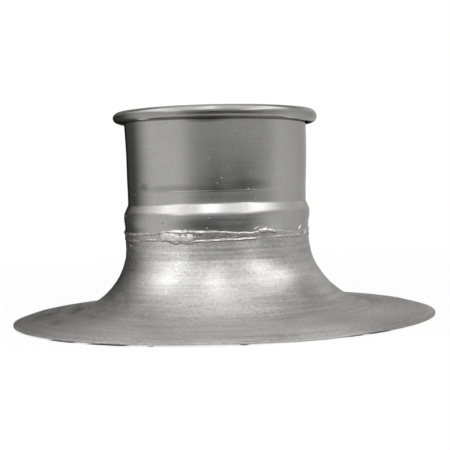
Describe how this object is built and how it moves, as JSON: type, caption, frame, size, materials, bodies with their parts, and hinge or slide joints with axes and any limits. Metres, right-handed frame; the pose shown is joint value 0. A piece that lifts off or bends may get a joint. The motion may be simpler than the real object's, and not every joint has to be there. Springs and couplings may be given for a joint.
{
  "type": "bellmouth duct adapter",
  "caption": "Round sheet steel duct adapter: a collar with a rolled lip, welded to a spun bellmouth that flares into a wide round brim.",
  "frame": {"origin": "centre of the brim, on the plane that its edge stands on", "axes": "+Z along the duct, from the brim up through the collar to the rolled lip; -Y is the side with the heaviest weld runs"},
  "size_m": [0.24, 0.24, 0.1165],
  "materials": {
    "collar_steel": "satin rolled sheet with fine marks along the duct",
    "bell_steel": "spun sheet with fine rings and speckle",
    "weld_metal": "bright, uneven weld metal with dark pits"
  },
  "bodies": {
    "root": {"collar": "collar_steel", "bell": "bell_steel", "weld_seam": "weld_metal"}
  },
  "joints": []
}
